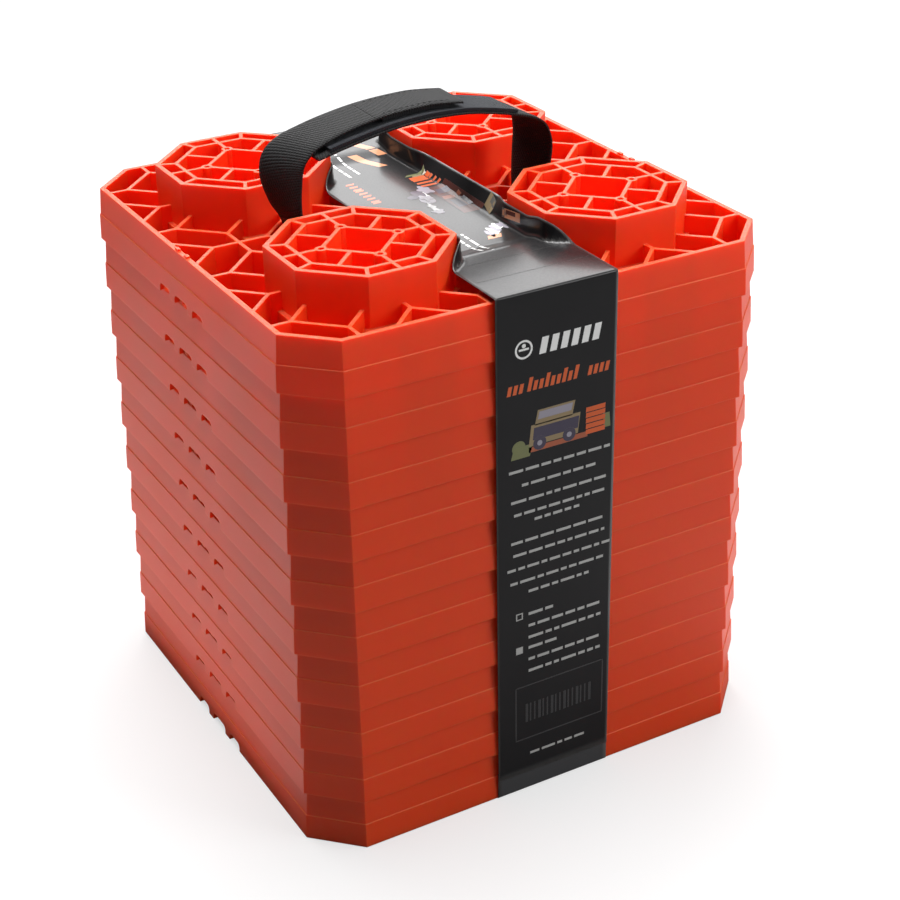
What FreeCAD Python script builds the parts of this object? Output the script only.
"""Leveling block set: ten ribbed blocks stacked on their pegs, a webbing carrying strap and a card band.

The set stands on the XY plane. X runs along the face the card band crosses, Y runs to the back and Z is up.
The blocks are square in plan, and the strap arches over the top along X. All lengths are millimetres.
"""
import FreeCAD, Part
import math
import os
from FreeCAD import Vector

os.makedirs("parts", exist_ok=True)

# ---- driving dimensions -------------------------------------------------------------------------------

block_count = 10
half_size = 120.0        # half the width of a block at its foot
corner_cut = 20.5        # length that each corner cut takes off a side
pitch = 25.2             # foot of one block to foot of the next
ledge_height = 12.4      # the proud lower band ends here
rim_inset = 1.85         # the rim is this much smaller than the foot
ledge_inset = 0.55       # taper of the lower band at the ledge
ledge_step = 0.35        # the ledge stands this proud of the upper band
skirt_wall = 2.4
rib_wall = 1.7

peg_offset = 60.0        # peg centres from the middle, along X and Y
peg_apothem = 38.0       # half the width of a peg across its flats
peg_rise = 14.8          # peg top above the rim
peg_wall = 2.2
ring_apothem = 28.9      # middle of the inner ring's wall
square_reach = 18.3      # middle of the peg to a corner of the turned square
boss_radius = 2.7
boss_bore = 1.35
boss_depth = 8.0

socket_apothem = 38.5    # half a millimetre of room round the peg below
socket_wall = 1.8
socket_depth = 15.4
web_height = 17.0        # top of the web that closes the socket

notch_height = 4.2
notch_widths = {-18.5: 11.5, 0.0: 14.5, 18.5: 11.5}
nub_size = (3.0, 1.6, 1.1)
nub_offset = 5.0

card = 0.4               # card band thickness
card_room = 0.2          # air between the card and the blocks
band_half = 30.2         # half the width of the card band
neck_half = 21.6         # half its width where it is pinched between the pegs
lip_rise = 8.5           # how far the pinched edges curl up
seam_height = 10.0       # foot of the long panel above the floor
seam_lap = 4.5

strap_width = 25.0
strap_thick = 1.6
leg_x = 60.0             # the strap goes down through the diamond cells here
swing_radius = 14.0      # rounded foot of the handle, about its swing axis
swing_gap = 0.3
swing_rise = 5.5         # swing axis above the rim
recess_depth = 2.4       # channel under a block that takes the strap
peel_x = -26.0           # crease where the free end peels back
tape_thick = 1.4

# ---- heights that follow from them --------------------------------------------------------------------

stack_foot = card
rim_z = stack_foot + block_count * pitch
peg_top_z = rim_z + peg_rise
swing_z = rim_z + swing_rise


# ---- plain shapes -------------------------------------------------------------------------------------

def ring_of(points, z):
    """Closed wire through plan points at height z."""
    corners = [Vector(x, y, z) for x, y in points]
    return Part.makePolygon(corners + corners[:1])


def prism(points, low, high):
    """Upright prism on a plan outline."""
    return Part.Face(ring_of(points, low)).extrude(Vector(0, 0, high - low))


def slab(x0, x1, y0, y1, z0, z1):
    """Box between two corners."""
    return Part.makeBox(x1 - x0, y1 - y0, z1 - z0, Vector(x0, y0, z0))


def block_plan(inset):
    """Square with cut corners, every side moved in by the same amount."""
    side = half_size - inset
    end = 2 * half_size - corner_cut - inset * math.sqrt(2) - side
    quarter = [(side, -end), (side, end)]
    return [turn_plan(p, 90 * k) for k in range(4) for p in quarter]


def turn_plan(point, degrees):
    """Turn a plan point about the middle."""
    c, s = math.cos(math.radians(degrees)), math.sin(math.radians(degrees))
    return point[0] * c - point[1] * s, point[0] * s + point[1] * c


def octagon(apothem, cx=0.0, cy=0.0):
    """Regular octagon with flats square to X and Y."""
    end = apothem * math.tan(math.radians(22.5))
    corners = [turn_plan((apothem, s * end), 45 * k) for k in range(8) for s in (-1, 1)]
    return [(x + cx, y + cy) for x, y in corners[::2]]


def tapered(inset_low, low, inset_high, high):
    """Drafted band of the block between two heights."""
    wires = [ring_of(block_plan(inset_low), low), ring_of(block_plan(inset_high), high)]
    return Part.makeLoft(wires, True, True)


def rib_face(start, end, z):
    """Plan of one straight rib, run half a wall past both ends."""
    dx, dy = end[0] - start[0], end[1] - start[1]
    length = math.hypot(dx, dy)
    ux, uy = dx / length * rib_wall / 2, dy / length * rib_wall / 2
    corners = [(start[0] - ux - uy, start[1] - uy + ux), (start[0] - ux + uy, start[1] - uy - ux),
               (end[0] + ux + uy, end[1] + uy - ux), (end[0] + ux - uy, end[1] + uy + ux)]
    return Part.Face(ring_of(corners, z))


def lattice(segments, low, high):
    """Upright rib lattice from plan segments."""
    faces = [rib_face(a, b, low) for a, b in segments]
    return faces[0].multiFuse(faces[1:]).removeSplitter().extrude(Vector(0, 0, high - low))


# ---- block --------------------------------------------------------------------------------------------

def all_mirrored(segments):
    """Repeat plan segments in all eight parts of the square, leaving out repeats."""
    kept = {}
    for a, b in segments:
        for sx in (-1, 1):
            for sy in (-1, 1):
                for swap in (False, True):
                    ends = [(sx * p[0], sy * p[1]) for p in (a, b)]
                    if swap:
                        ends = [(y, x) for x, y in ends]
                    key = tuple(sorted((round(x, 3) + 0.0, round(y, 3) + 0.0) for x, y in ends))
                    kept[key] = ends
    return list(kept.values())


def deck_segments():
    """Rib lines of the deck between the pegs, for one eighth of the square."""
    c, r = peg_offset, peg_apothem
    reach, step = 47.5, 30.0                 # ends of the walls that face a peg's cut sides
    foot = (reach + step - r * math.sqrt(2)) / 2
    rim = half_size - 1.5
    tip = 5.5                                # stub between a peg and its vee
    valley = c - r - tip                     # half diagonal of the strap's diamond cells
    out_tip = c + r + tip
    lines = [((c + reach, c + step), (c + step, c + reach)),
             ((c + reach, c + step), (c + reach - foot, c + step - foot)),
             ((c + reach, c + step), (rim, c + step)),
             ((c + reach, c - step), (c + step, c - reach)),
             ((c + reach, c - step), (c + reach - foot, c - step + foot)),
             ((c + step, c - reach), (c + step - foot, c - reach + foot)),
             ((c + reach, c - step), (rim, c - step)),
             ((c + step, c - reach), (c + step, 0)),
             ((c - reach, c - step), (c - step, c - reach)),
             ((c - step, c - reach), (c - step + foot, c - reach + foot)),
             ((c - step, c - reach), (c - step, 0)),
             ((c + r, c), (out_tip, c)),
             ((out_tip, c), (rim, c + rim - out_tip)),
             ((out_tip, c), (rim, c - rim + out_tip)),
             ((c, c - r), (c, valley)),
             ((c, valley), (c + valley, 0)),
             ((c, valley), (c - valley, 0)),
             ((102.5, 0), (rim, rim - 102.5)),
             ((102.5, 0), (c + valley, 0)),
             ((c - valley, 0), (17.5, 0)),
             ((17.5, 0), (0, 17.5))]
    return lines


def peg_segments():
    """Rib lines inside a peg, for one eighth of it."""
    end = ring_apothem * math.tan(math.radians(22.5))
    outer = peg_apothem - peg_wall / 2
    outer_end = outer * math.tan(math.radians(22.5))
    middle = square_reach / 2
    diagonal = ring_apothem / math.sqrt(2)
    return [((ring_apothem, 0), (ring_apothem, end)),
            ((ring_apothem, end), (end, ring_apothem)),
            ((ring_apothem, end), (outer, outer_end)),
            ((square_reach, 0), (outer, 0)),
            ((square_reach, 0), (0, square_reach)),
            ((middle, middle), (diagonal, diagonal))]


def make_peg():
    """One hollow peg with its ribs, standing on the web that closes the socket under it."""
    top = pitch + peg_rise
    wall = prism(octagon(peg_apothem), socket_depth, top)
    wall = wall.cut(prism(octagon(peg_apothem - peg_wall), web_height, top + 1))
    ribs = lattice(all_mirrored(peg_segments()), web_height, top)
    ribs = ribs.common(prism(octagon(peg_apothem - 0.5), web_height, top))
    bosses, bores = [], []
    for quarter in range(4):
        x, y = turn_plan((square_reach, 0), 90 * quarter)
        bosses.append(Part.makeCylinder(boss_radius, top - web_height, Vector(x, y, web_height)))
        bores.append(Part.makeCylinder(boss_bore, boss_depth + 1, Vector(x, y, top - boss_depth)))
    return wall.multiFuse([ribs] + bosses).cut(Part.makeCompound(bores))


def notch(offset, width):
    """Arched notch through the skirt on the front, at its foot."""
    flat = width - 5.0
    arch = slab(offset - width / 2, offset + width / 2, -half_size - 1, -half_size + 5, -1, notch_height - 2.5)
    lid = slab(offset - flat / 2, offset + flat / 2, -half_size - 1, -half_size + 5, -1, notch_height)
    rounds = [Part.makeCylinder(2.5, 6, Vector(offset + s * flat / 2, -half_size - 1, notch_height - 2.5),
                                Vector(0, 1, 0)) for s in (-1, 1)]
    return arch.multiFuse([lid] + rounds)


def make_block():
    """One block with its foot at z = 0."""
    bands = [(0.0, 0.0, ledge_inset, ledge_height),
             (ledge_inset + ledge_step, ledge_height, rim_inset, pitch)]
    outer = tapered(*bands[0]).fuse(tapered(*bands[1]))
    hollow = tapered(bands[0][0] + skirt_wall, -1.0, bands[0][2] + skirt_wall, ledge_height)
    hollow = hollow.fuse(tapered(bands[1][0] + skirt_wall, ledge_height, rim_inset + skirt_wall, pitch + 1))
    skirt = outer.cut(hollow)
    deck = lattice(all_mirrored(deck_segments()), 0, pitch).common(outer)

    centres = [(sx * peg_offset, sy * peg_offset) for sx in (-1, 1) for sy in (-1, 1)]
    peg = make_peg()
    pieces, sockets, hollows = [deck], [], []
    for cx, cy in centres:
        copy = peg.copy()
        copy.translate(Vector(cx, cy, 0))
        pieces.append(copy)
        pieces.append(prism(octagon(socket_apothem + socket_wall, cx, cy), 0, web_height))
        sockets.append(prism(octagon(socket_apothem, cx, cy), -1, socket_depth))
        hollows.append(prism(octagon(peg_apothem - peg_wall, cx, cy), web_height, pitch + 1))

    deck_ribs = deck.cut(Part.makeCompound(hollows))
    body = skirt.multiFuse([deck_ribs] + pieces[1:])
    body = body.cut(Part.makeCompound(sockets))
    body = body.cut(slab(-leg_x - 6, leg_x + 6, -13.5, 13.5, -1, recess_depth))

    cuts, nubs = [], []
    for quarter in range(4):
        for offset, width in notch_widths.items():
            cut = notch(offset, width)
            cut.rotate(Vector(0, 0, 0), Vector(0, 0, 1), 90 * quarter)
            cuts.append(cut)
    wide, deep, tall = nub_size
    edge = half_size - rim_inset - skirt_wall / 2
    for x in (-edge, edge):
        for y in (-nub_offset, nub_offset):
            nubs.append(slab(x - deep / 2, x + deep / 2, y - wide / 2, y + wide / 2, pitch - 0.5, pitch + tall))
    body = body.cut(Part.makeCompound(cuts)).multiFuse(nubs)
    return body.removeSplitter()


# ---- card band ----------------------------------------------------------------------------------------

def make_band_base():
    """Strip under the stack with its ends turned up behind the long panel."""
    face = half_size + card_room
    strip = slab(-band_half, band_half, -face - card, face + card, 0, card)
    ends = [slab(-band_half, band_half, s - card / 2, s + card / 2, 0, seam_height + seam_lap)
            for s in (-face - card / 2, face + card / 2)]
    return strip.multiFuse(ends).removeSplitter()


def make_band_wrap():
    """Long panel: up the front, over the deck between the pegs and down the back."""
    inner = half_size + card_room + card + 0.1
    top = rim_z + 0.1
    pieces = []
    for side in (-1, 1):
        y0, y1 = sorted((side * inner, side * (inner + card)))
        pieces.append(slab(-band_half, band_half, y0, y1, seam_height, top + card))
        lip_y0, lip_y1 = sorted((side * 26.0, side * 94.0))
        for edge in (-1, 1):
            x0, x1 = sorted((edge * neck_half, edge * (neck_half - card)))
            pieces.append(slab(x0, x1, lip_y0, lip_y1, top, top + lip_rise))
        y0, y1 = sorted((side * 99.0, side * (inner + card)))
        pieces.append(slab(-band_half, band_half, y0, y1, top, top + card))
    pieces.append(slab(-neck_half, neck_half, -inner, inner, top, top + card))
    pieces.append(slab(-band_half, band_half, -21.0, 21.0, top, top + card))
    return pieces[0].multiFuse(pieces[1:]).removeSplitter()


# ---- strap --------------------------------------------------------------------------------------------

lower_line = [(leg_x, swing_z), (62.3, rim_z + 12), (62.8, rim_z + 22), (60.2, rim_z + 30.5),
              (54.5, rim_z + 35), (44, rim_z + 38.5), (31, rim_z + 41.6), (18, rim_z + 43.8), (0, rim_z + 44.6),
              (-17, rim_z + 43.6), (-30, rim_z + 41.8), (-45, rim_z + 39), (-56.5, rim_z + 36.3)]
upper_line = [(-leg_x, swing_z), (-65.2, rim_z + 13), (-68.0, rim_z + 24), (-66.2, rim_z + 33),
              (-59.5, rim_z + 39), (-48, rim_z + 43.2), (-36, rim_z + 46.1), (-26, rim_z + 47.8),
              (-12, rim_z + 49.2), (0, rim_z + 49.7), (10, rim_z + 49.6), (19, rim_z + 48.9)]


def ribbon(line, low, thick, width):
    """Strip of even thickness along a curve in the XZ plane; low and low + thick lie off the curve."""
    curve = Part.BSplineCurve()
    curve.interpolate([Vector(x, 0, z) for x, z in line])
    edges = []
    for offset in (low, low + thick):
        points = []
        for step in range(len(line) * 3 + 1):
            t = curve.FirstParameter + (curve.LastParameter - curve.FirstParameter) * step / (len(line) * 3)
            along = curve.tangent(t)[0]
            normal = Vector(-along.z, 0, along.x)
            points.append(curve.value(t) + normal * offset)
        side = Part.BSplineCurve()
        side.interpolate(points)
        edges.append(side)
    ends = [Part.makeLine(edges[0].value(edges[0].LastParameter), edges[1].value(edges[1].LastParameter)),
            Part.makeLine(edges[1].value(edges[1].FirstParameter), edges[0].value(edges[0].FirstParameter))]
    outline = Part.Wire([edges[0].toShape(), ends[0], edges[1].toShape(), ends[1]])
    strip = Part.Face(outline).extrude(Vector(0, width, 0))
    strip.translate(Vector(0, -width / 2, 0))
    return strip


def handle_foot(side):
    """Straight foot of the handle inside its cell, rounded about the swing axis."""
    foot = slab(side * leg_x - strap_thick / 2, side * leg_x + strap_thick / 2,
                -strap_width / 2, strap_width / 2, swing_z - swing_radius, swing_z)
    disc = Part.makeCylinder(swing_radius, 4, Vector(side * leg_x - 2, 0, swing_z), Vector(1, 0, 0))
    return foot.common(disc)


def make_leg(side):
    """Strap leg inside the stack, hollowed at the top to clear the handle's rounded foot."""
    leg = slab(side * leg_x - strap_thick / 2, side * leg_x + strap_thick / 2,
               -strap_width / 2, strap_width / 2, stack_foot + 20.3, swing_z - 8)
    disc = Part.makeCylinder(swing_radius + swing_gap, 4, Vector(side * leg_x - 2, 0, swing_z), Vector(1, 0, 0))
    return leg.cut(disc)


def make_strap_base():
    """Strap under the bottom block, turned up into both cells."""
    low = stack_foot + 0.2
    half = strap_width / 2
    outer = leg_x + strap_thick / 2
    run = slab(-outer, outer, -half, half, low, low + strap_thick)
    ends = [slab(side * leg_x - strap_thick / 2, side * leg_x + strap_thick / 2, -half, half,
                 low, stack_foot + 20.0) for side in (-1, 1)]
    return run.multiFuse(ends).removeSplitter()


def split_at(shape, x, keep_above):
    """Keep the part of a strip on one side of an upright plane."""
    reach = slab(x, 300, -50, 50, 0, 400) if keep_above else slab(-300, x, -50, 50, 0, 400)
    return shape.common(reach)


def stitch_rows(line, lift, start, end, rows):
    """Two rows of short stitches lying on a strip."""
    curve = Part.BSplineCurve()
    curve.interpolate([Vector(x, 0, z) for x, z in line])
    stitches = []
    count = int((end - start) / 3.0)
    for row in rows:
        for index in range(count + 1):
            x = start + index * 3.0
            upright = Part.makeLine(Vector(x, 0, rim_z + 20), Vector(x, 0, rim_z + 80))
            t = curve.parameter(curve.toShape().distToShape(upright)[1][0][0])
            along = curve.tangent(t)[0]
            along = along if along.x > 0 else along * -1
            spot = curve.value(t) + Vector(-along.z, 0, along.x) * lift
            stitch = Part.makeBox(1.8, 0.5, 0.25, Vector(-0.9, row - 0.25, 0))
            stitch.rotate(Vector(0, 0, 0), Vector(0, 1, 0), -math.degrees(math.atan2(along.z, along.x)))
            stitch.translate(spot)
            stitches.append(stitch)
    return Part.makeCompound(stitches)


# ---- build and write ----------------------------------------------------------------------------------

def write(name, shape):
    """Write one node."""
    shape.exportStep(f"parts/{name}.step")
    print(f"{name:24s} {shape.Volume / 1000:8.1f} cm3  solids {len(shape.Solids)}  valid {shape.isValid()}")


block = make_block()
for number in range(1, block_count + 1):
    placed = block.copy()
    placed.translate(Vector(0, 0, stack_foot + (number - 1) * pitch))
    write(f"block_{number:02d}", placed)

write("card_band_base", make_band_base())
write("card_band_wrap", make_band_wrap())

write("strap_base_run", make_strap_base())
write("strap_leg_left", make_leg(-1))
write("strap_leg_right", make_leg(1))

lower = ribbon(lower_line, -strap_thick / 2, strap_thick, strap_width).fuse(handle_foot(1)).removeSplitter()
upper = ribbon(upper_line, -strap_thick / 2, strap_thick, strap_width)
write("strap_lower_layer", lower)
write("strap_upper_layer", split_at(upper.fuse(handle_foot(-1)).removeSplitter(), peel_x - swing_gap, False))
write("strap_free_end", split_at(upper, peel_x, True))
hook = ribbon(upper_line, -strap_thick / 2 - tape_thick - 0.02, tape_thick, strap_width - 2)
write("hook_tape", split_at(split_at(hook, peel_x + 4, True), 15, False))
loop = ribbon(lower_line, -strap_thick / 2 - tape_thick - 0.02, tape_thick, strap_width - 2)
write("loop_tape", split_at(split_at(loop, -50, True), 46, False))
half = strap_thick / 2
write("hook_tape_stitching", stitch_rows(upper_line, half + 0.02, peel_x + 6, 13, (-9.5, 9.5)))
write("loop_tape_stitching", stitch_rows(lower_line, -half - 0.27, -48, 44, (-9.5, 9.5)))
